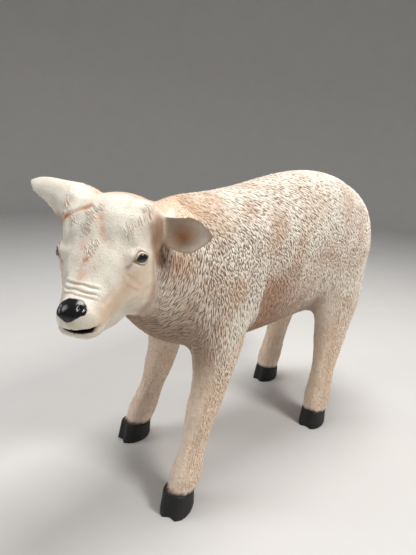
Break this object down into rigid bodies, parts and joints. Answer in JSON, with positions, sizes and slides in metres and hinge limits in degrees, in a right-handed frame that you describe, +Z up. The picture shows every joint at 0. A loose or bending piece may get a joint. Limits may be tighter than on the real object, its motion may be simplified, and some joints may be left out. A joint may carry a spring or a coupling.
{
  "type": "lamb statue",
  "caption": "Life-size standing lamb statue in painted resin: carved fleece, smooth face turned to its left, dark hooves.",
  "frame": {"origin": "on the floor below the middle of the bounding box", "axes": "+Z up, the lamb faces -Y, its left side is +X"},
  "size_m": [0.2362, 0.689, 0.4562],
  "materials": {
    "coat": "painted resin, cream with a terracotta wash in the carved recesses",
    "face": "painted resin, satin off-white",
    "hoof": "painted resin, matt black",
    "gloss": "gloss black paint"
  },
  "bodies": {
    "root": {"trunk": "coat", "neck": "coat", "tail": "coat", "leg_front_left_upper": "coat", "leg_front_left_lower": "coat", "leg_front_right_upper": "coat", "leg_front_right_lower": "coat", "leg_hind_left_upper": "coat", "leg_hind_left_lower": "coat", "leg_hind_right_upper": "coat", "leg_hind_right_lower": "coat", "head": "face", "lower_jaw": "face", "ear_left": "face", "ear_right": "face", "hoof_front_left": "hoof", "hoof_front_right": "hoof", "hoof_hind_left": "hoof", "hoof_hind_right": "hoof", "nose": "gloss", "eye_left": "gloss", "eye_right": "gloss"}
  },
  "joints": []
}
